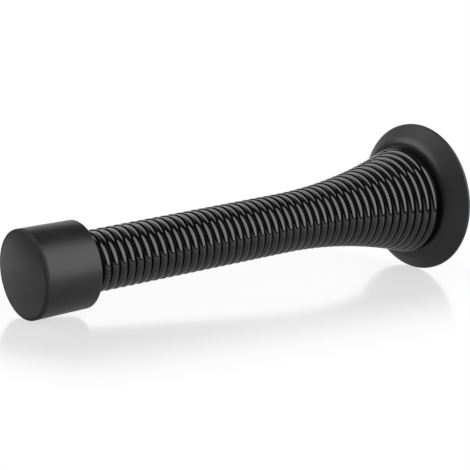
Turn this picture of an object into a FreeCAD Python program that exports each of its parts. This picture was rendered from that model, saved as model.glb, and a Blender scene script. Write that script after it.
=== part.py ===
import FreeCAD, Part
import Sketcher
import math
import os

# Spring door stop: a base with a screw hole, a flared close-wound spring and a rubber tip.
# The wall is the plane y = 0 and the stop points along -Y, with +Z up.

doc = FreeCAD.newDocument("DoorStop")
vector = FreeCAD.Vector

# Driving sizes in millimetres, turns and degrees
DRIVING_SIZES = {
    "overall_length": 79.4,
    "flange_dia": 25.4,
    "flange_wall": 0.9,
    "rim_edge": 0.4,
    "rim_round": 0.2,
    "rim_ring_width": 1.3,
    "seat_height": 3.0,
    "seat_lip": 0.85,
    "seat_round": 2.4,
    "seat_gap": 0.08,
    "hub_turns": 3.0,
    "hub_inset": 0.5,
    "hub_bevel": 0.4,
    "hub_core_radius": 6.2,
    "groove_gap": 0.05,
    "wire_dia": 1.4,
    "coil_gap": 0.04,
    "spring_tip_dia": 9.38,
    "spring_waist_dia": 9.74,
    "spring_base_dia": 18.5,
    "flare_height": 31.3,
    "wire_end_angle": -160.0,
    "tip_dia": 13.4,
    "tip_rear_dia": 13.24,
    "tip_length": 9.8,
    "tip_crown": 0.45,
    "tip_round": 0.3,
    "tip_mouth_round": 0.25,
    "socket_depth": 6.9,
    "socket_gap": 0.12,
    "socket_floor_gap": 0.2,
    "screw_hole_dia": 4.5,
    "screw_head_dia": 8.4,
    "screw_head_edge": 0.4,
    "screw_head_angle": 82.0,
}

# Sizes that follow from the driving ones
DERIVED_SIZES = {
    "flange_radius": "flange_dia / 2",
    "rim_inner_radius": "flange_radius - rim_ring_width",
    "seat_radius": "spring_base_dia / 2 + seat_lip",
    "cone_rise": "(seat_height - rim_edge) / (flange_radius - seat_radius)",
    "hollow_rim_height": "rim_edge + rim_ring_width * cone_rise - flange_wall * sqrt(1 + cone_rise ^ 2)",
    "hollow_height": "seat_height - flange_wall",
    "hollow_radius": "rim_inner_radius - (hollow_height - hollow_rim_height) / cone_rise",
    "coil_pitch": "wire_dia + coil_gap",
    "wire_start": "seat_height + seat_gap + wire_dia / 2",
    "tip_rear": "overall_length - tip_length",
    "wire_finish": "tip_rear + socket_depth - socket_floor_gap - wire_dia / 2",
    "coil_tip_radius": "(spring_tip_dia - wire_dia) / 2",
    "coil_waist_radius": "(spring_waist_dia - wire_dia) / 2",
    "coil_base_radius": "(spring_base_dia - wire_dia) / 2",
    "coil_taper": "(coil_waist_radius - coil_tip_radius) / (tip_rear - flare_height)",
    "flare_span": "flare_height - wire_start",
    "flare_amount": "coil_base_radius - coil_waist_radius - coil_taper * flare_span",
    "hub_height": "hub_turns * coil_pitch",
    "hub_top": "seat_height + hub_height",
    "hub_foot_radius": "coil_base_radius - hub_inset",
    "hub_coil_radius": "coil_waist_radius + coil_taper * (flare_height - hub_top)"
                       " + flare_amount * ((flare_height - hub_top) / flare_span) ^ 2",
    "hub_top_radius": "hub_coil_radius - hub_inset",
    "screw_hole_radius": "screw_hole_dia / 2",
    "screw_head_radius": "screw_head_dia / 2",
    "head_seat_top": "hub_top - screw_head_edge",
    "head_seat_depth": "(screw_head_radius - screw_hole_radius) / tan(screw_head_angle / 2 * 1 deg)",
    "head_seat_bottom": "head_seat_top - head_seat_depth",
    "tip_radius": "tip_dia / 2",
    "tip_rear_radius": "tip_rear_dia / 2",
    "tip_edge_height": "tip_length - tip_crown",
    "socket_radius": "spring_tip_dia / 2 + socket_gap",
}


def fill_sheet():
    """Write every size into a spreadsheet, one alias to a row."""
    table = doc.addObject("Spreadsheet::Sheet", "Sizes")
    row = 1
    for alias, value in DRIVING_SIZES.items():
        table.set(f"A{row}", alias)
        table.set(f"B{row}", str(value))
        table.setAlias(f"B{row}", alias)
        row += 1
    doc.recompute()
    for alias, formula in DERIVED_SIZES.items():
        table.set(f"A{row}", alias)
        table.set(f"B{row}", "=" + formula)
        table.setAlias(f"B{row}", alias)
        doc.recompute()
        row += 1
    return table


sheet = fill_sheet()


def size(alias):
    """Give a size's present value as a plain number."""
    return float(sheet.get(alias))


def origin_plane(body, role):
    """Find one of a body's own origin planes."""
    for feature in body.Origin.OriginFeatures:
        if feature.Role == role:
            return feature
    raise RuntimeError(f"{body.Label} has no {role}")


def new_sketch(body, name, role):
    """Add a sketch that lies on one of the body's origin planes."""
    sketch = body.newObject("Sketcher::SketchObject", name)
    sketch.AttachmentSupport = [(origin_plane(body, role), "")]
    sketch.MapMode = "FlatFace"
    return sketch


AXIS_ACROSS = -1
AXIS_UP = -2
SKETCH_ORIGIN = (-1, 1)
START, END, CENTRE = range(1, 4)


def pin_corner(sketch, line, radius_alias, height_alias):
    """Bind a line's start to a radius and a height from the sheet."""
    if radius_alias:
        index = sketch.addConstraint(
            Sketcher.Constraint("DistanceX", *SKETCH_ORIGIN, line, START, size(radius_alias)))
        sketch.setExpression(f"Constraints[{index}]", f"Sizes.{radius_alias}")
    else:
        sketch.addConstraint(Sketcher.Constraint("PointOnObject", line, START, AXIS_UP))
    if height_alias:
        index = sketch.addConstraint(
            Sketcher.Constraint("DistanceY", *SKETCH_ORIGIN, line, START, size(height_alias)))
        sketch.setExpression(f"Constraints[{index}]", f"Sizes.{height_alias}")
    else:
        sketch.addConstraint(Sketcher.Constraint("PointOnObject", line, START, AXIS_ACROSS))


def crown_arc(start, end):
    """Draw a shallow arc, centred on the axis, between a rim and the crown of a face."""
    drop = end.y - start.y
    radius = (start.x ** 2 + drop ** 2) / (2 * drop)
    circle = Part.Circle(vector(0, end.y - radius, 0), vector(0, 0, 1), radius)
    return Part.ArcOfCircle(circle, math.asin((radius - drop) / radius), math.pi / 2)


def half_section(body, name, corners, crowned_side=None):
    """Sketch a closed half section: each corner is a radius alias and a height alias."""
    sketch = new_sketch(body, name, "XZ_Plane")
    places = []
    for radius_alias, height_alias in corners:
        across = size(radius_alias) if radius_alias else 0.0
        up = size(height_alias) if height_alias else 0.0
        places.append(vector(across, up, 0))
    count = len(corners)
    for side in range(count):
        start = places[side]
        end = places[(side + 1) % count]
        if side == crowned_side:
            sketch.addGeometry(crown_arc(start, end))
            sketch.addConstraint(Sketcher.Constraint("PointOnObject", side, CENTRE, AXIS_UP))
        else:
            sketch.addGeometry(Part.LineSegment(start, end))
    for side in range(count):
        following = (side + 1) % count
        sketch.addConstraint(Sketcher.Constraint("Coincident", side, END, following, START))
    for side, (radius_alias, height_alias) in enumerate(corners):
        pin_corner(sketch, side, radius_alias, height_alias)
    return sketch


def turned_body(name, corners, crowned_side=None):
    """Make a body by turning a half section round its upright axis."""
    body = doc.addObject("PartDesign::Body", name)
    section = half_section(body, name + "_section", corners, crowned_side)
    turning = body.newObject("PartDesign::Revolution", name + "_turning")
    turning.Profile = section
    turning.ReferenceAxis = (section, ["V_Axis"])
    turning.Angle = 360.0
    doc.recompute()
    return body


def ring_edges(shape, radius, height):
    """Name the circular edges at one radius and height."""
    names = []
    for number, edge in enumerate(shape.Edges, start=1):
        if edge.Degenerated or not isinstance(edge.Curve, Part.Circle):
            continue
        same_radius = abs(edge.Curve.Radius - radius) < 1e-4
        same_height = abs(edge.Curve.Center.z - height) < 1e-4
        if same_radius and same_height:
            names.append(f"Edge{number}")
    if not names:
        raise RuntimeError(f"no ring edge at radius {radius} and height {height}")
    return names


def round_ring(body, name, radius, height, round_alias):
    """Round one ring edge of a turned body."""
    base = body.Tip
    fillet = body.newObject("PartDesign::Fillet", name)
    fillet.Base = (base, ring_edges(base.Shape, radius, height))
    fillet.setExpression("Radius", f"Sizes.{round_alias}")
    doc.recompute()


# The wire's centre line

def coil_radius(height):
    """Wire-centre radius at a height above the wall: a slight taper, then a parabolic flare."""
    straight = size("coil_waist_radius") + size("coil_taper") * (size("flare_height") - height)
    rise = max(0.0, (size("flare_height") - height) / size("flare_span"))
    return straight + size("flare_amount") * rise ** 2


def coil_slope(height):
    """Change of the wire-centre radius for each millimetre of height."""
    rise = max(0.0, (size("flare_height") - height) / size("flare_span"))
    return -size("coil_taper") - 2 * size("flare_amount") * rise / size("flare_span")


def climb_per_radian(height):
    """Height gained for each radian, with the turns one coil pitch apart along the flare."""
    return size("coil_pitch") / (2 * math.pi) / math.hypot(1, coil_slope(height))


STATIONS_PER_TURN = 2
STEPS_PER_STATION = 8


def wire_stations(finish):
    """Points and directions along the wire, every half turn, from the base up to a height."""
    step = 2 * math.pi / STATIONS_PER_TURN / STEPS_PER_STATION
    angle = math.radians(size("wire_end_angle"))
    height = size("wire_start")
    stations = []
    while height < finish:
        radius = coil_radius(height)
        climb = climb_per_radian(height)
        outward = vector(math.cos(angle), math.sin(angle), 0)
        around = vector(-math.sin(angle), math.cos(angle), 0)
        point = outward * radius + vector(0, 0, height)
        direction = outward * (coil_slope(height) * climb) + around * radius + vector(0, 0, climb)
        stations.append((point, direction.normalize()))
        for _ in range(STEPS_PER_STATION):
            middle = height + climb_per_radian(height) * step / 2
            height += climb_per_radian(middle) * step
            angle += step
    return stations


def arc_middle(start, direction, end):
    """Middle of the arc that leaves one point in a direction and reaches another."""
    chord = end - start
    inward = chord - direction * chord.dot(direction)
    inward.normalize()
    radius = chord.dot(chord) / (2 * chord.dot(inward))
    centre = start + inward * radius
    outward = (start + end) * 0.5 - centre
    return centre + outward.normalize() * radius


def tangent_arcs(first, second):
    """Join two stations by two arcs that share a tangent where they meet."""
    start, leaving = first
    end, arriving = second
    chord = end - start
    spread = 2 * (1 - leaving.dot(arriving))
    along = chord.dot(leaving + arriving)
    reach = (math.sqrt(along ** 2 + spread * chord.dot(chord)) - along) / spread
    joint = (start + leaving * reach + end - arriving * reach) * 0.5
    lower = Part.Arc(start, arc_middle(start, leaving, joint), joint)
    upper = Part.Arc(joint, arc_middle(end, arriving * -1, joint), end)
    return [lower.toShape(), upper.toShape()]


def wound_sweep(name, finish, radius_expression):
    """Sweep a round section along the wire's line, from the base up to a height."""
    stations = wire_stations(finish)
    edges = []
    for first, second in zip(stations, stations[1:]):
        edges += tangent_arcs(first, second)
    line = doc.addObject("Part::Feature", name + "_line")
    line.Shape = Part.Wire(edges)
    start, direction = stations[0]
    section = doc.addObject("Part::Circle", name + "_section")
    section.setExpression("Radius", radius_expression)
    section.Placement = FreeCAD.Placement(start, FreeCAD.Rotation(vector(0, 0, 1), direction))
    sweep = doc.addObject("Part::Sweep", name)
    sweep.Sections = [section]
    sweep.Spine = (line, [f"Edge{number + 1}" for number in range(len(edges))])
    sweep.Solid = True
    sweep.Frenet = True
    doc.recompute()
    expected = line.Shape.Length * math.pi * float(section.Radius) ** 2
    if abs(sweep.Shape.Volume - expected) > 0.001 * expected:
        raise RuntimeError(f"{name} is not a full sweep: {sweep.Shape.Volume} for {expected}")
    return sweep


# Base: a thin coned flange with a soft shoulder, and a hub that the widest turns wind onto

def make_base():
    blank = turned_body("base_blank", [
        ("flange_radius", ""),
        ("flange_radius", "rim_edge"),
        ("seat_radius", "seat_height"),
        ("hub_foot_radius", "seat_height"),
        ("hub_top_radius", "hub_top"),
        ("screw_head_radius", "hub_top"),
        ("screw_head_radius", "head_seat_top"),
        ("screw_hole_radius", "head_seat_bottom"),
        ("screw_hole_radius", ""),
        ("hub_core_radius", ""),
        ("hub_core_radius", "hollow_height"),
        ("hollow_radius", "hollow_height"),
        ("rim_inner_radius", "hollow_rim_height"),
        ("rim_inner_radius", ""),
    ])
    round_ring(blank, "rim_rounding", size("flange_radius"), size("rim_edge"), "rim_round")
    round_ring(blank, "seat_rounding", size("seat_radius"), size("seat_height"), "seat_round")
    rounded = blank.Tip
    bevel = blank.newObject("PartDesign::Chamfer", "hub_bevelling")
    bevel.Base = (rounded, ring_edges(rounded.Shape, size("hub_top_radius"), size("hub_top")))
    bevel.setExpression("Size", "Sizes.hub_bevel")
    doc.recompute()
    thread = wound_sweep("hub_groove", size("hub_top") + size("coil_pitch"),
                         "Sizes.wire_dia / 2 + Sizes.groove_gap")
    base = doc.addObject("Part::Cut", "base")
    base.Base = blank
    base.Tool = thread
    doc.recompute()
    return base


# Spring: one flared wire, close-wound to the right

def make_spring():
    return wound_sweep("spring", size("wire_finish"), "Sizes.wire_dia / 2")


# Rubber tip: a cup with a crowned face, pushed over the narrow end of the spring

def make_tip():
    tip = turned_body("bumper_tip", [
        ("socket_radius", ""),
        ("tip_rear_radius", ""),
        ("tip_radius", "tip_edge_height"),
        ("", "tip_length"),
        ("", "socket_depth"),
        ("socket_radius", "socket_depth"),
    ], crowned_side=2)
    round_ring(tip, "face_rounding", size("tip_radius"), size("tip_edge_height"), "tip_round")
    round_ring(tip, "rear_rounding", size("tip_rear_radius"), 0.0, "tip_mouth_round")
    round_ring(tip, "mouth_rounding", size("socket_radius"), 0.0, "tip_mouth_round")
    return tip


# The axis of each piece is turned from its own +Z to point away from the wall
POINTING_OUT = FreeCAD.Rotation(vector(1, 0, 0), 90)


def place(piece, distance_expression=None):
    """Turn a piece to point out of the wall, its own zero at a distance along Y."""
    piece.Placement = FreeCAD.Placement(vector(0, 0, 0), POINTING_OUT)
    if distance_expression:
        piece.setExpression("Placement.Base.y", distance_expression)


base = make_base()
spring = make_spring()
tip = make_tip()
place(base)
place(spring)
place(tip, "-Sizes.tip_rear")
doc.recompute()

for item in doc.Objects:
    if "Invalid" in item.State or "Error" in item.State:
        raise RuntimeError(f"{item.Label} failed: {item.State}")

os.makedirs("parts", exist_ok=True)
for piece in (base, spring, tip):
    shape = piece.Shape
    if shape.isNull() or not shape.isValid() or len(shape.Solids) != 1:
        raise RuntimeError(f"{piece.Label} is not one valid solid")
    shape.exportStep(f"parts/{piece.Label}.step")
    print(piece.Label, round(shape.Volume, 2), shape.BoundBox)
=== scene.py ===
import math

import bmesh
import bpy
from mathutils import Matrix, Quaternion, Vector


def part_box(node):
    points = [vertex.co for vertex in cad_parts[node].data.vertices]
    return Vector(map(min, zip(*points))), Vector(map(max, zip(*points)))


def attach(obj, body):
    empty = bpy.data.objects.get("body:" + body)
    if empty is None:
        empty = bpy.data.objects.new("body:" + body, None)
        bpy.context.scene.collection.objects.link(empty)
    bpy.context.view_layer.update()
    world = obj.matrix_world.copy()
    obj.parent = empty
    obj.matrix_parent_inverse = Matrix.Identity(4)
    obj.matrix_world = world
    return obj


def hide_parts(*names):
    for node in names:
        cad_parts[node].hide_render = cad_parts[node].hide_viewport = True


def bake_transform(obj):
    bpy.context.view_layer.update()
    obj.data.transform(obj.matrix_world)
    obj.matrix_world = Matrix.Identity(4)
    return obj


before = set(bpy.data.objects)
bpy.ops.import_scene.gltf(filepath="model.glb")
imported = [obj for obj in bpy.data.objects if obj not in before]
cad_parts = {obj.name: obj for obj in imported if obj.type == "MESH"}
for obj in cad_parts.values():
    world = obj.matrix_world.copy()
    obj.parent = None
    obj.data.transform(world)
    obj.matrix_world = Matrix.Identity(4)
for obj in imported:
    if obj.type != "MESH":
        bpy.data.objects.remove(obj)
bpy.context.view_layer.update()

bl_info = {
    "name": "Spring door stop",
    "version": (1, 0, 0),
    "blender": (4, 5, 0),
    "location": "3D View > Sidebar > Door Stop",
    "description": "Winds and finishes a spring door stop and sets it on a studio floor",
    "category": "Object",
}

FITS_WITHIN = 0.00003


# Node graphs

class Link:
    """A node's output, which takes part in Python expressions as a number."""

    def __init__(self, graph, node, socket):
        self.graph = graph
        self.node = node
        self.socket = socket

    def __add__(self, other):
        return self.graph.maths("ADD", self, other)

    def __radd__(self, other):
        return self.graph.maths("ADD", other, self)

    def __sub__(self, other):
        return self.graph.maths("SUBTRACT", self, other)

    def __rsub__(self, other):
        return self.graph.maths("SUBTRACT", other, self)

    def __mul__(self, other):
        return self.graph.maths("MULTIPLY", self, other)

    def __rmul__(self, other):
        return self.graph.maths("MULTIPLY", other, self)

    def __truediv__(self, other):
        return self.graph.maths("DIVIDE", self, other)

    def __neg__(self):
        return self.graph.maths("MULTIPLY", self, -1.0)

    def output(self, name):
        """Another output of the same node."""
        return Link(self.graph, self.node, self.node.outputs[name])


class Graph:
    """A shader or geometry node tree under construction."""

    def __init__(self, tree):
        self.tree = tree

    def node(self, kind, settings=None, sockets=None, output=0):
        """Any node: its type, its settings, the values or links of its sockets."""
        made = self.tree.nodes.new(kind)
        for name, value in (settings or {}).items():
            setattr(made, name, value)
        for name, value in (sockets or {}).items():
            socket = made.inputs[name]
            if isinstance(value, Link):
                self.tree.links.new(value.socket, socket)
            else:
                socket.default_value = value
        return Link(self, made, made.outputs[output] if made.outputs else None)

    def maths(self, operation, *values, clamp=False):
        settings = {"operation": operation, "use_clamp": clamp}
        return self.node("ShaderNodeMath", settings, dict(enumerate(values)))

    def distance(self, first, second):
        """How far a point lies from zero, by its two coordinates."""
        return self.maths("SQRT", first * first + second * second)

    def span(self, value, low, high, to_low=0.0, to_high=1.0):
        """A value's place between two limits, eased at both ends."""
        settings = {"interpolation_type": "SMOOTHSTEP"}
        sockets = {0: value, 1: low, 2: high, 3: to_low, 4: to_high}
        return self.node("ShaderNodeMapRange", settings, sockets)

    def place(self):
        return self.node("ShaderNodeTexCoord", output="Object")

    def split(self, place):
        """A place's distances across, along and up."""
        across = self.node("ShaderNodeSeparateXYZ", sockets={0: place}, output="X")
        return across, across.output("Y"), across.output("Z")

    def noise(self, place, scale, detail=2.0, roughness=0.5):
        sockets = {"Vector": place, "Scale": scale, "Detail": detail, "Roughness": roughness}
        return self.node("ShaderNodeTexNoise", sockets=sockets)

    def bump(self, height, distance, strength=1.0):
        sockets = {"Height": height, "Distance": distance, "Strength": strength}
        return self.node("ShaderNodeBump", sockets=sockets)

    def mix_colour(self, factor, first, second):
        settings = {"data_type": "RGBA"}
        sockets = {0: factor, 6: first, 7: second}
        return self.node("ShaderNodeMix", settings, sockets, output=2)

    def mix_shader(self, factor, first, second):
        return self.node("ShaderNodeMixShader", sockets={0: factor, 1: first, 2: second})

    def principled(self, **sockets):
        named = {name.replace("_", " "): value for name, value in sockets.items()}
        return self.node("ShaderNodeBsdfPrincipled", sockets=named)

    def coloured(self, kind, colour, **sockets):
        """A plain shader of one colour."""
        return self.node(kind, sockets={"Color": opaque(colour), **sockets})


def new_graph(name):
    """A new material and its empty graph."""
    material = bpy.data.materials.new(name)
    material.use_nodes = True
    material.node_tree.nodes.clear()
    return material, Graph(material.node_tree)


def surface(graph, shader):
    graph.node("ShaderNodeOutputMaterial", sockets={"Surface": shader})


def opaque(colour):
    return (*colour, 1.0)


def grey(value):
    return (value, value, value)


# Sizes and colours

class SpringSizes(bpy.types.PropertyGroup):
    """The wire and the shape it is wound to."""

    wire_diameter: bpy.props.FloatProperty(
        name="Wire diameter", description="Thickness of the coated wire",
        default=0.0014, unit="LENGTH", precision=5)
    coil_pitch: bpy.props.FloatProperty(
        name="Coil pitch", description="Distance from turn to turn along the coil's slope",
        default=0.00144, unit="LENGTH", precision=5)
    wire_start: bpy.props.FloatProperty(
        name="Wire start", description="Height of the wire's wide end above the wall",
        default=0.00378, unit="LENGTH", precision=5)
    wire_finish: bpy.props.FloatProperty(
        name="Wire finish", description="Height of the wire's narrow end above the wall",
        default=0.075328, unit="LENGTH", precision=6)
    tip_radius: bpy.props.FloatProperty(
        name="Tip radius", description="Radius of the wire's line inside the rubber tip",
        default=0.003963, unit="LENGTH", precision=6)
    waist_radius: bpy.props.FloatProperty(
        name="Waist radius", description="Radius of the wire's line where the flare starts",
        default=0.00417, unit="LENGTH", precision=5)
    base_radius: bpy.props.FloatProperty(
        name="Base radius", description="Radius of the wire's line at its wide end",
        default=0.00855, unit="LENGTH", precision=5)
    flare_height: bpy.props.FloatProperty(
        name="Flare height", description="Height above the wall where the flare starts",
        default=0.0313, unit="LENGTH", precision=5)
    end_angle: bpy.props.FloatProperty(
        name="End angle", description="Place of the wire's wide end round the axis",
        default=math.radians(-160.0), subtype="ANGLE")
    points: bpy.props.IntProperty(
        name="Points", description="Points along the whole wire", default=3201, min=2)
    sides: bpy.props.IntProperty(
        name="Sides", description="Sides of the wire's section", default=20, min=3)


class TipSizes(bpy.types.PropertyGroup):
    """The rubber cup on the spring's narrow end."""

    foot: bpy.props.FloatProperty(
        name="Foot", description="Height of the tip's mouth above the wall",
        default=0.0696, unit="LENGTH", precision=5)
    length: bpy.props.FloatProperty(
        name="Length", description="Length of the tip",
        default=0.0098, unit="LENGTH", precision=5)
    diameter: bpy.props.FloatProperty(
        name="Diameter", description="Diameter at the face",
        default=0.0134, unit="LENGTH", precision=5)
    rear_diameter: bpy.props.FloatProperty(
        name="Rear diameter", description="Diameter at the mouth",
        default=0.01324, unit="LENGTH", precision=5)
    crown: bpy.props.FloatProperty(
        name="Crown", description="Rise of the face to its middle",
        default=0.00045, unit="LENGTH", precision=5)
    edge_round: bpy.props.FloatProperty(
        name="Edge round", description="Rounding round the face",
        default=0.0003, unit="LENGTH", precision=5)
    mouth_round: bpy.props.FloatProperty(
        name="Mouth round", description="Rounding of the mouth's two edges",
        default=0.00025, unit="LENGTH", precision=5)
    socket_radius: bpy.props.FloatProperty(
        name="Socket radius", description="Radius of the socket that holds the spring",
        default=0.00481, unit="LENGTH", precision=5)
    socket_depth: bpy.props.FloatProperty(
        name="Socket depth", description="Depth of the socket that holds the spring",
        default=0.0069, unit="LENGTH", precision=5)


class FinishColours(bpy.types.PropertyGroup):
    """The three black finishes and the floor."""

    spring_coat: bpy.props.FloatVectorProperty(
        name="Spring coat", description="Gloss coating of the wire",
        default=(0.0040, 0.0040, 0.0042), subtype="COLOR", min=0.0, max=1.0)
    base_coat: bpy.props.FloatVectorProperty(
        name="Base coat", description="Satin coating of the base",
        default=(0.0075, 0.0075, 0.0078), subtype="COLOR", min=0.0, max=1.0)
    tip_rubber: bpy.props.FloatVectorProperty(
        name="Tip rubber", description="Rubber of the tip",
        default=(0.0100, 0.0100, 0.0103), subtype="COLOR", min=0.0, max=1.0)
    floor: bpy.props.FloatVectorProperty(
        name="Floor", description="Pale studio floor",
        default=(0.86, 0.86, 0.86), subtype="COLOR", min=0.0, max=1.0)


class StageSizes(bpy.types.PropertyGroup):
    """Camera, lamps and floor."""

    camera_place: bpy.props.FloatVectorProperty(
        name="Camera place", description="Where the camera stands",
        default=(0.176145, -0.179186, 0.059225), subtype="TRANSLATION", precision=5)
    camera_aim: bpy.props.FloatVectorProperty(
        name="Camera aim", description="The point in the middle of the picture",
        default=(-0.000078, -0.040318, -0.000419), subtype="TRANSLATION", precision=5)
    camera_lens: bpy.props.FloatProperty(
        name="Camera lens", description="Focal length for a picture 36 mm wide",
        default=112.12, unit="CAMERA")
    floor_width: bpy.props.FloatProperty(
        name="Floor width", description="Width of the floor", default=12.0, unit="LENGTH")
    floor_edge: bpy.props.FloatProperty(
        name="Floor edge", description="Where the floor ends, beside the object",
        default=0.046, unit="LENGTH")
    floor_front: bpy.props.FloatProperty(
        name="Floor front", description="Place along the stop where the floor ends before the tip",
        default=-0.105, unit="LENGTH")
    floor_lip: bpy.props.FloatProperty(
        name="Floor lip", description="Height of the dark lip at the floor's right edge",
        default=0.005, unit="LENGTH")
    right_lamp: bpy.props.FloatProperty(
        name="Right lamp", description="Brightness of the softbox at the right, where 1 is white",
        default=3.0, min=0.0)
    left_lamp: bpy.props.FloatProperty(
        name="Left lamp", description="Brightness of the softbox at the left, where 1 is white",
        default=3.1, min=0.0)
    room_light: bpy.props.FloatProperty(
        name="Room light", description="Brightness of the room on the object, where 1 is white",
        default=0.12, min=0.0)


class DoorStopSettings(bpy.types.PropertyGroup):
    """Everything that a user would change."""

    spring: bpy.props.PointerProperty(type=SpringSizes)
    tip: bpy.props.PointerProperty(type=TipSizes)
    colours: bpy.props.PointerProperty(type=FinishColours)
    stage: bpy.props.PointerProperty(type=StageSizes)


def settings():
    return bpy.context.scene.door_stop


# Materials. Noise scales count features to the metre.

RELIEF = 0.00002
CORNER_RADII = (0.0094, 0.0109)
CORNER_ROUGHNESS = 0.24
FLANGE_ROUGHNESS = 0.46
BLOOM_LIMITS = (0.4, 0.75)
EDGE_WEAR_REACH = (0.0003, 0.0005)


def shades(graph, factor, colour, times):
    """From a colour to one that is some times as light."""
    return graph.mix_colour(factor, opaque(colour), opaque([times * value for value in colour]))


def uneven(lowest, *parts):
    """A lowest roughness, and the most that each pattern adds to it."""
    return sum((most * pattern for most, pattern in parts), lowest)


def spring_coating():
    """Gloss black coating, with the slight orange peel of a dipped coat."""
    material, graph = new_graph("spring_gloss_coating")
    place = graph.place()
    peel = graph.noise(place, scale=900.0, detail=1.5)
    patches = graph.noise(place, scale=160.0, detail=3.0)
    grain = graph.noise(place, scale=4200.0)
    surface(graph, graph.principled(
        Base_Color=shades(graph, patches, settings().colours.spring_coat, times=1.5),
        Roughness=uneven(0.05, (0.03, patches), (0.02, grain)),
        IOR=1.6,
        Normal=graph.bump(peel, RELIEF, strength=0.35)))
    return material


def base_coating():
    """Satin black coating with a fine grain, which lies thick and glossy round the spring."""
    material, graph = new_graph("base_satin_coating")
    place = graph.place()
    grain = graph.noise(place, scale=5200.0, detail=3.0, roughness=0.6)
    peel = graph.noise(place, scale=700.0)
    patches = graph.noise(place, scale=120.0, detail=3.0)
    across, _, up = graph.split(place)
    smoothest = graph.span(graph.distance(across, up), *CORNER_RADII,
                           to_low=CORNER_ROUGHNESS, to_high=FLANGE_ROUGHNESS)
    surface(graph, graph.principled(
        Base_Color=shades(graph, patches, settings().colours.base_coat, times=1.4),
        Roughness=uneven(smoothest, (0.08, patches), (0.06, grain)),
        IOR=1.5,
        Normal=graph.bump(0.6 * peel + 0.4 * grain, RELIEF, strength=0.4)))
    return material


def tip_rubber():
    """Satin black rubber with a fine moulded grain, a faint bloom and a dull front edge."""
    sizes = settings().tip
    material, graph = new_graph("tip_black_rubber")
    place = graph.place()
    grain = graph.noise(place, scale=3800.0, detail=3.0, roughness=0.65)
    bloom = graph.noise(place, scale=210.0, detail=4.0, roughness=0.6)
    across, along, up = graph.split(place)
    edge_radius = sizes.diameter / 2 - sizes.edge_round
    edge_height = sizes.foot + sizes.length - sizes.crown - sizes.edge_round
    from_edge = graph.distance(graph.distance(across, up) - edge_radius, along + edge_height)
    wear = graph.span(from_edge, *EDGE_WEAR_REACH, to_low=1.0, to_high=0.0)
    bloomed = graph.span(bloom, *BLOOM_LIMITS)
    surface(graph, graph.principled(
        Base_Color=shades(graph, bloomed, settings().colours.tip_rubber, times=1.5),
        Roughness=uneven(0.32, (0.09, bloom), (0.05, grain), (0.4, wear)),
        IOR=1.44,
        Normal=graph.bump(grain, RELIEF, strength=0.35)))
    return material


# Pieces

TURN_SEGMENTS = 192
ROUND_STEPS = 8
FACE_STEPS = 24
SHARP_ANGLE = math.radians(40)
LEAST_STEP = 0.00001


def check_fit(mesh, node):
    """Stop if a piece leaves the box of the solid it stands for."""
    low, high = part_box(node)
    for axis in range(3):
        found = [point.co[axis] for point in mesh.vertices]
        gap = max(abs(min(found) - low[axis]), abs(max(found) - high[axis]))
        if gap > FITS_WITHIN:
            raise RuntimeError(f"{mesh.name} leaves its solid by {gap} m on axis {axis}")


def spring_tree():
    """A close-wound wire: a slight taper, a parabolic flare, one pitch along the slope."""
    tree = bpy.data.node_groups.new("close_wound_spring", "GeometryNodeTree")
    tree.is_modifier = True
    tree.interface.new_socket("Geometry", in_out="OUTPUT", socket_type="NodeSocketGeometry")
    numbers = ("wire_diameter", "coil_pitch", "wire_start", "wire_finish", "tip_radius",
               "waist_radius", "base_radius", "flare_height", "end_angle")
    kinds = {name: "NodeSocketFloat" for name in numbers}
    kinds.update(points="NodeSocketInt", sides="NodeSocketInt", material="NodeSocketMaterial")
    inputs = {}
    for name, kind in kinds.items():
        made = tree.interface.new_socket(name, in_out="INPUT", socket_type=kind)
        inputs[name] = made.identifier
    graph = Graph(tree)
    entry = graph.node("NodeGroupInput")
    size = {name: entry.output(name) for name in kinds}

    share = graph.node("GeometryNodeSplineParameter", output="Factor")
    rise = size["wire_finish"] - size["wire_start"]
    height = size["wire_start"] + rise * share
    straight = size["wire_finish"] - size["flare_height"]
    flare = size["flare_height"] - size["wire_start"]
    taper = (size["waist_radius"] - size["tip_radius"]) / straight
    swell = size["base_radius"] - size["waist_radius"] - taper * flare
    bend = 2.0 * swell / (flare * flare)
    below = graph.maths("MAXIMUM", size["flare_height"] - height, 0.0)
    above = graph.maths("MAXIMUM", height - size["flare_height"], 0.0)
    radius = size["waist_radius"] + taper * (size["flare_height"] - height)
    radius = radius + 0.5 * bend * below * below

    def slope_sum(slope):
        root = graph.maths("SQRT", 1.0 + slope * slope)
        return slope * root + graph.maths("LOGARITHM", slope + root, math.e)

    along_flare = slope_sum(taper + bend * flare) - slope_sum(taper + bend * below)
    along = along_flare / (2.0 * bend) + above * graph.maths("SQRT", 1.0 + taper * taper)
    turn = size["end_angle"] + 2.0 * math.pi * along / size["coil_pitch"]
    place = graph.node("ShaderNodeCombineXYZ", sockets={
        "X": radius * graph.maths("COSINE", turn), "Y": -height,
        "Z": radius * graph.maths("SINE", turn)})

    line = graph.node("GeometryNodeCurvePrimitiveLine")
    line = graph.node("GeometryNodeResampleCurve", sockets={
        "Curve": line, "Count": size["points"]})
    line = graph.node("GeometryNodeSetPosition", sockets={"Geometry": line, "Position": place})
    section = graph.node("GeometryNodeCurvePrimitiveCircle", sockets={
        "Resolution": size["sides"], "Radius": 0.5 * size["wire_diameter"]})
    wire = graph.node("GeometryNodeCurveToMesh", sockets={
        "Curve": line, "Profile Curve": section, "Fill Caps": True})
    wire = graph.node("GeometryNodeRealizeInstances", sockets={"Geometry": wire})
    wire = graph.node("GeometryNodeSetMaterial", sockets={
        "Geometry": wire, "Material": size["material"]})
    graph.node("NodeGroupOutput", sockets={"Geometry": wire})
    return tree, inputs


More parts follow.
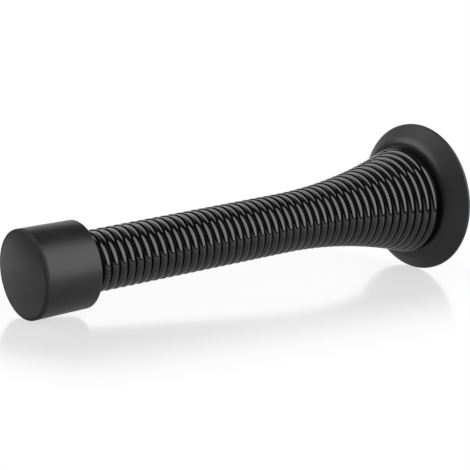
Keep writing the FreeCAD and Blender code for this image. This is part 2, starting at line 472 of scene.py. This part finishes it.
def wound_mesh(name, tree, inputs, values):
    """A plain mesh of what the tree makes from these values."""
    seed = bpy.data.objects.new(name + "_seed", bpy.data.meshes.new(name + "_seed"))
    bpy.context.scene.collection.objects.link(seed)
    modifier = seed.modifiers.new("winding", "NODES")
    modifier.node_group = tree
    for key, value in values.items():
        modifier[inputs[key]] = value
    evaluated = seed.evaluated_get(bpy.context.evaluated_depsgraph_get())
    mesh = bpy.data.meshes.new_from_object(evaluated)
    mesh.name = name
    bpy.data.objects.remove(seed)
    return mesh


class DOORSTOP_OT_wind_spring(bpy.types.Operator):
    """Wind the flared spring between base and tip"""

    bl_idname = "doorstop.wind_spring"
    bl_label = "Wind spring"

    def execute(self, context):
        sizes = settings().spring
        coating = spring_coating()
        tree, inputs = spring_tree()
        values = {name: getattr(sizes, name) for name in inputs if name != "material"}
        mesh = wound_mesh("flared_spring", tree, inputs, {**values, "material": coating})
        for face in mesh.polygons:
            end_cap = len(face.vertices) > 4
            face.use_smooth = not end_cap
        check_fit(mesh, "spring")
        spring = bpy.data.objects.new("flared_spring", mesh)
        context.scene.collection.objects.link(spring)
        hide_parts("spring")
        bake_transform(spring)
        return {"FINISHED"}


class DOORSTOP_OT_coat_base(bpy.types.Operator):
    """Give the base its satin coating"""

    bl_idname = "doorstop.coat_base"
    bl_label = "Coat base"

    def execute(self, context):
        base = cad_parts["base"]
        base.material_slots[0].material = base_coating()
        return {"FINISHED"}


def rounded(before, corner, after, radius):
    """Points of the arc that rounds a corner of a half section."""
    corner = Vector(corner)
    back = (Vector(before) - corner).normalized()
    ahead = (Vector(after) - corner).normalized()
    opening = back.angle(ahead)
    centre = corner + (back + ahead).normalized() * (radius / math.sin(opening / 2))
    reach = radius / math.tan(opening / 2)
    first = corner + back * reach - centre
    last = corner + ahead * reach - centre
    sweep = math.pi - opening
    points = []
    for step in range(ROUND_STEPS + 1):
        share = step / ROUND_STEPS
        weights = (math.sin((1 - share) * sweep), math.sin(share * sweep))
        points.append(centre + (first * weights[0] + last * weights[1]) / math.sin(sweep))
    return points


def tip_section(sizes):
    """The tip's half section, from the socket's floor round the mouth to the crowned face."""
    front = sizes.diameter / 2
    rear = sizes.rear_diameter / 2
    edge = sizes.length - sizes.crown
    dome = (front ** 2 + sizes.crown ** 2) / (2 * sizes.crown)
    centre = sizes.length - dome
    lean = math.asin(front / dome)
    leans = [lean * (1 - step / FACE_STEPS) for step in range(FACE_STEPS + 1)]
    face = [(dome * math.sin(angle), centre + dome * math.cos(angle)) for angle in leans]
    socket_floor = (sizes.socket_radius, sizes.socket_depth)
    mouth_in = (sizes.socket_radius, 0.0)
    mouth_out = (rear, 0.0)
    corner = (front, edge)
    on_face = (front - math.cos(lean), edge + math.sin(lean))
    section = [(0.0, sizes.socket_depth), socket_floor]
    section += rounded(socket_floor, mouth_in, mouth_out, sizes.mouth_round)
    section += rounded(mouth_in, mouth_out, corner, sizes.mouth_round)
    section += rounded(mouth_out, corner, on_face, sizes.edge_round)
    face_starts = section[-1][0] - LEAST_STEP
    section += [point for point in face if point[0] < face_starts]
    return [tuple(point) for point in section]


def turned_mesh(name, section, foot):
    """A half section of radii and heights turned round the stop's axis, from a foot outwards."""
    turns = [2 * math.pi * number / TURN_SEGMENTS for number in range(TURN_SEGMENTS)]
    shape = bmesh.new()
    rings = []
    for radius, height in section:
        on_axis = radius < LEAST_STEP
        rings.append([shape.verts.new((radius * math.cos(turn), -(foot + height),
                                       radius * math.sin(turn)))
                      for turn in (turns[:1] if on_axis else turns)])
    for ring, following in zip(rings, rings[1:]):
        for number in range(TURN_SEGMENTS):
            corners = [ring[number % len(ring)], following[number % len(following)],
                       following[(number + 1) % len(following)], ring[(number + 1) % len(ring)]]
            shape.faces.new(list(dict.fromkeys(corners)))
    bmesh.ops.recalc_face_normals(shape, faces=shape.faces)
    mesh = bpy.data.meshes.new(name)
    shape.to_mesh(mesh)
    shape.free()
    mesh.shade_smooth()
    mesh.set_sharp_from_angle(angle=SHARP_ANGLE)
    return mesh


class DOORSTOP_OT_mould_tip(bpy.types.Operator):
    """Mould the rubber tip"""

    bl_idname = "doorstop.mould_tip"
    bl_label = "Mould tip"

    def execute(self, context):
        sizes = settings().tip
        mesh = turned_mesh("rubber_tip", tip_section(sizes), sizes.foot)
        mesh.materials.append(tip_rubber())
        check_fit(mesh, "bumper_tip")
        tip = bpy.data.objects.new("rubber_tip", mesh)
        context.scene.collection.objects.link(tip)
        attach(tip, "tip_side")
        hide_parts("bumper_tip")
        return {"FINISHED"}


# Stage. Places on the floor are a distance along the stop and a height.

RESTS_ON_RIM = (-0.0004, -0.0127)
RESTS_ON_TIP = (-0.0785, -0.0067)
FLOOR_DROP = 0.00004
POOL_RADII = (0.012, 0.042)
POOL_SQUEEZE = 1.6
# Grey of the painted shadow under the object, shown on the floor only in reflections.
PAINTED_SHADOW_GREY = 0.50
POOL_SHADE = 0.12
POOL_GLOSS = 0.26
GLOSS_ROUGHNESS = 0.16
WHITE = grey(1.0)
CLOTH_BLACK = grey(0.004)

LOOK_AT = Vector((0.0, -0.040, 0.0))
FLAG_DISTANCE = 0.9
FLAG_STEPS = 24
WALL_FLAG = {"azimuths": (-100, 205), "elevations": (-60, -35, -15, 0, 15, 30)}
TOP_FLAG = {"azimuths": (-180, 180), "elevations": (30, 45, 65, 80, 89.9)}
LAMP_DISTANCE = 0.50
RIGHT_SOFTBOX = {"azimuth": 121, "elevation": 27, "size": (0.74, 1.08), "roll": 30}
LEFT_SOFTBOX = {"azimuth": -38, "elevation": 40, "size": (0.62, 0.50), "roll": 0}
PICTURE_WIDTH = 36.0
CLIP_NEAR, CLIP_FAR = 0.01, 100.0


def towards(azimuth, elevation, distance):
    """A point round the object, by compass angle and height angle in degrees."""
    turn = math.radians(azimuth)
    lift = math.radians(elevation)
    flat = math.cos(lift)
    aim = Vector((math.sin(turn) * flat, -math.cos(turn) * flat, math.sin(lift)))
    return LOOK_AT + distance * aim


def seen(graph):
    """One for what is seen mirrored, and one for all that the camera sees, mirrored or not."""
    camera = graph.node("ShaderNodeLightPath", output="Is Camera Ray")
    mirrored = camera.output("Is Glossy Ray")
    through = camera.output("Is Transmission Ray")
    return mirrored, graph.maths("ADD", camera + mirrored, through, clamp=True)


def pool(graph):
    """One under the object, fading to nothing round it."""
    across, along, _ = graph.split(graph.place())
    beside = graph.maths("MINIMUM", graph.maths("MAXIMUM", along, RESTS_ON_TIP[0]), 0.0)
    away = graph.distance(across, POOL_SQUEEZE * (beside - along))
    return graph.span(away, *POOL_RADII, to_low=1.0, to_high=0.0)


def floor_white():
    """White from above, with the object's cast shadow and a blurred reflection near it, and a
    painted grey shadow under the object where the floor is seen in reflections.
    """
    material, graph = new_graph("studio_floor")
    near = pool(graph)
    mirrored, shown = seen(graph)
    white = graph.coloured("ShaderNodeEmission", WHITE)
    # Painted shadow: a grey glow under the object, which reflections show in place of the white
    # floor.
    painted_shadow = graph.coloured("ShaderNodeEmission", grey(PAINTED_SHADOW_GREY))
    matt = graph.coloured("ShaderNodeBsdfDiffuse", settings().colours.floor)
    gloss = graph.coloured("ShaderNodeBsdfGlossy", WHITE, Roughness=GLOSS_ROUGHNESS)
    clear = graph.node("ShaderNodeBsdfTransparent")
    shaded = graph.mix_shader(POOL_SHADE * near * near, white, matt)
    glossed = graph.mix_shader(POOL_GLOSS * near * near, shaded, gloss)
    mirrored_with_painted_shadow = graph.mix_shader(near, white, painted_shadow)
    looked_at = graph.mix_shader(mirrored, glossed, mirrored_with_painted_shadow)
    top = graph.mix_shader(shown, matt, looked_at)
    from_below = graph.node("ShaderNodeNewGeometry", output="Backfacing")
    surface(graph, graph.mix_shader(from_below, top, clear))
    return material


def flag_black():
    """Black cloth that keeps the room out of the gloss."""
    material, graph = new_graph("studio_flag")
    surface(graph, graph.coloured("ShaderNodeBsdfDiffuse", CLOTH_BLACK))
    return material


def stage_mesh(name, points, faces, material):
    mesh = bpy.data.meshes.new(name)
    mesh.from_pydata(points, [], faces)
    mesh.materials.append(material)
    made = bpy.data.objects.new(name, mesh)
    bpy.context.scene.collection.objects.link(made)
    return made


def lay_floor(stage, black):
    """A floor that touches the rim and the tip, with a dark lip seen only in reflections."""
    slope = (RESTS_ON_TIP[1] - RESTS_ON_RIM[1]) / (RESTS_ON_TIP[0] - RESTS_ON_RIM[0])
    reach = stage.floor_width / 2
    right = stage.floor_edge
    front = stage.floor_front
    corners = []
    for across, along in ((-reach, front), (right, front), (right, reach), (-reach, reach)):
        height = RESTS_ON_RIM[1] + slope * (along - RESTS_ON_RIM[0]) - FLOOR_DROP
        corners.append(Vector((across, along, height)))
    stage_mesh("floor", corners, [(0, 1, 2, 3)], floor_white())
    low, high = corners[1:3]
    lip = Vector((0.0, 0.0, stage.floor_lip))
    edge = stage_mesh("floor_edge", [low, high, high + lip, low + lip], [(0, 1, 2, 3)], black)
    edge.visible_camera = False
    edge.visible_diffuse = False


def hang_flag(name, material, azimuths, elevations):
    """A curved black flag, seen only in reflections."""
    first, last = azimuths
    points = []
    for step in range(FLAG_STEPS + 1):
        azimuth = first + (last - first) * step / FLAG_STEPS
        points += [towards(azimuth, elevation, FLAG_DISTANCE) for elevation in elevations]
    rows = len(elevations)
    starts = [rows * step + row for step in range(FLAG_STEPS) for row in range(rows - 1)]
    faces = [(start, start + rows, start + rows + 1, start + 1) for start in starts]
    flag = stage_mesh(name, points, faces, material)
    flag.visible_camera = False
    flag.visible_diffuse = False
    flag.visible_shadow = False


def hang_lamp(name, brightness, azimuth, elevation, size, roll):
    """An oval softbox that faces the object. Its power gives the brightness of its face."""
    lamp = bpy.data.lights.new(name, "AREA")
    lamp.shape = "ELLIPSE"
    lamp.size, lamp.size_y = size
    area = math.pi / 4 * size[0] * size[1]
    lamp.energy = brightness * math.pi * area
    made = bpy.data.objects.new(name, lamp)
    made.location = towards(azimuth, elevation, LAMP_DISTANCE)
    facing = (LOOK_AT - made.location).to_track_quat("-Z", "Y")
    made.rotation_euler = (facing @ Quaternion((0, 0, 1), math.radians(roll))).to_euler()
    made.visible_camera = False
    bpy.context.scene.collection.objects.link(made)


def light_room(stage):
    """A room that is white where it is seen and lights the object dimly."""
    world = bpy.data.worlds.new("studio_room")
    world.use_nodes = True
    world.node_tree.nodes.clear()
    graph = Graph(world.node_tree)
    _, shown = seen(graph)
    strength = shown + stage.room_light * (1 - shown)
    room = graph.coloured("ShaderNodeBackground", WHITE, Strength=strength)
    graph.node("ShaderNodeOutputWorld", sockets={"Surface": room})
    bpy.context.scene.world = world


def stand_camera(stage):
    camera = bpy.data.cameras.new("camera")
    camera.lens = stage.camera_lens
    camera.sensor_width = PICTURE_WIDTH
    camera.clip_start = CLIP_NEAR
    camera.clip_end = CLIP_FAR
    made = bpy.data.objects.new("camera", camera)
    made.location = stage.camera_place
    aim = Vector(stage.camera_aim) - Vector(stage.camera_place)
    made.rotation_euler = aim.to_track_quat("-Z", "Y").to_euler()
    bpy.context.scene.collection.objects.link(made)
    bpy.context.scene.camera = made


class DOORSTOP_OT_set_stage(bpy.types.Operator):
    """Lay the floor, hang lamps and flags, stand the camera"""

    bl_idname = "doorstop.set_stage"
    bl_label = "Set stage"

    def execute(self, context):
        stage = settings().stage
        black = flag_black()
        lay_floor(stage, black)
        hang_flag("wall_flag", black, **WALL_FLAG)
        hang_flag("top_flag", black, **TOP_FLAG)
        hang_lamp("right_softbox", stage.right_lamp, **RIGHT_SOFTBOX)
        hang_lamp("left_softbox", stage.left_lamp, **LEFT_SOFTBOX)
        light_room(stage)
        stand_camera(stage)
        context.scene.view_settings.view_transform = "Standard"
        return {"FINISHED"}


class DOORSTOP_PT_sidebar(bpy.types.Panel):
    """The door stop's steps and sizes"""

    bl_idname = "DOORSTOP_PT_sidebar"
    bl_label = "Door stop"
    bl_space_type = "VIEW_3D"
    bl_region_type = "UI"
    bl_category = "Door Stop"

    def draw(self, context):
        column = self.layout.column()
        for operator in OPERATORS:
            column.operator(operator.bl_idname)
        for group in (settings().spring, settings().tip, settings().colours, settings().stage):
            box = self.layout.box()
            for name in group.__annotations__:
                box.prop(group, name)


OPERATORS = (
    DOORSTOP_OT_wind_spring,
    DOORSTOP_OT_coat_base,
    DOORSTOP_OT_mould_tip,
    DOORSTOP_OT_set_stage,
)
CLASSES = (SpringSizes, TipSizes, FinishColours, StageSizes, DoorStopSettings, *OPERATORS,
           DOORSTOP_PT_sidebar)


def register():
    for made in CLASSES:
        bpy.utils.register_class(made)
    bpy.types.Scene.door_stop = bpy.props.PointerProperty(type=DoorStopSettings)


def unregister():
    del bpy.types.Scene.door_stop
    for made in reversed(CLASSES):
        bpy.utils.unregister_class(made)


def main():
    register()
    bpy.ops.doorstop.wind_spring()
    bpy.ops.doorstop.coat_base()
    bpy.ops.doorstop.mould_tip()
    bpy.ops.doorstop.set_stage()


if __name__ == "__main__":
    main()
